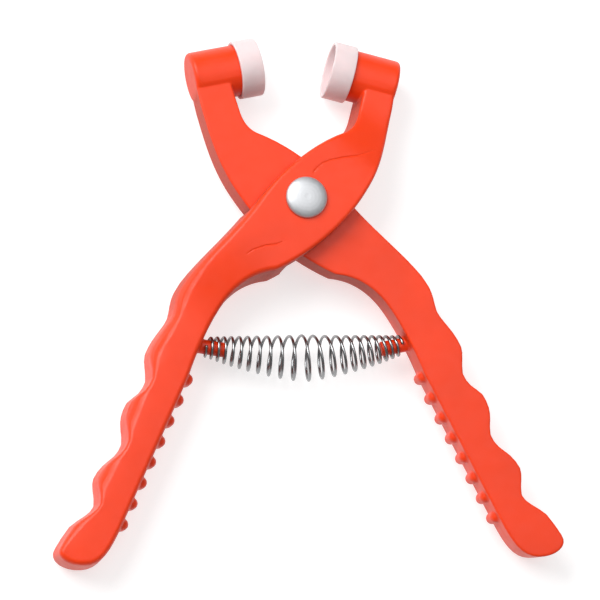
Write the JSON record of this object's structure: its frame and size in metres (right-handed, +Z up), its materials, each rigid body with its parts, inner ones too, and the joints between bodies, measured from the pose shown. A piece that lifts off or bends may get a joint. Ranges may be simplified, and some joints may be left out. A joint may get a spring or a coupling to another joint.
{
  "type": "spring clamp",
  "caption": "Plier-style hand clamp: crossed plastic levers on a rivet, barrel spring between the handles, hollow cup on each jaw.",
  "frame": {"origin": "under the middle of the overall box, on the surface the clamp lies on", "axes": "+Y from the handles to the jaws, +X to the right, +Z up through the thickness, rivet head up"},
  "size_m": [0.1616, 0.1692, 0.0245],
  "materials": {
    "orange_plastic": "satin moulded",
    "white_plastic": "smooth",
    "spring_steel": "bright drawn wire",
    "rivet_steel": "satin"
  },
  "bodies": {
    "rear_arm": {"rear_lever": "orange_plastic", "rear_jaw_cup": "white_plastic", "rivet": "rivet_steel", "return_spring": "spring_steel"},
    "front_arm": {"front_lever": "orange_plastic", "front_jaw_cup": "white_plastic"}
  },
  "joints": [
    {"name": "lever_pivot", "type": "hinge", "parent": "rear_arm", "child": "front_arm", "pos_m": [0, 0.03003, 0.00935], "axis": [0, 0, 1], "range_deg": [0, 28.2], "stiffness_Nm_per_rad": 0.5, "springref_deg": -6.88, "deforming": ["return_spring"]}
  ]
}
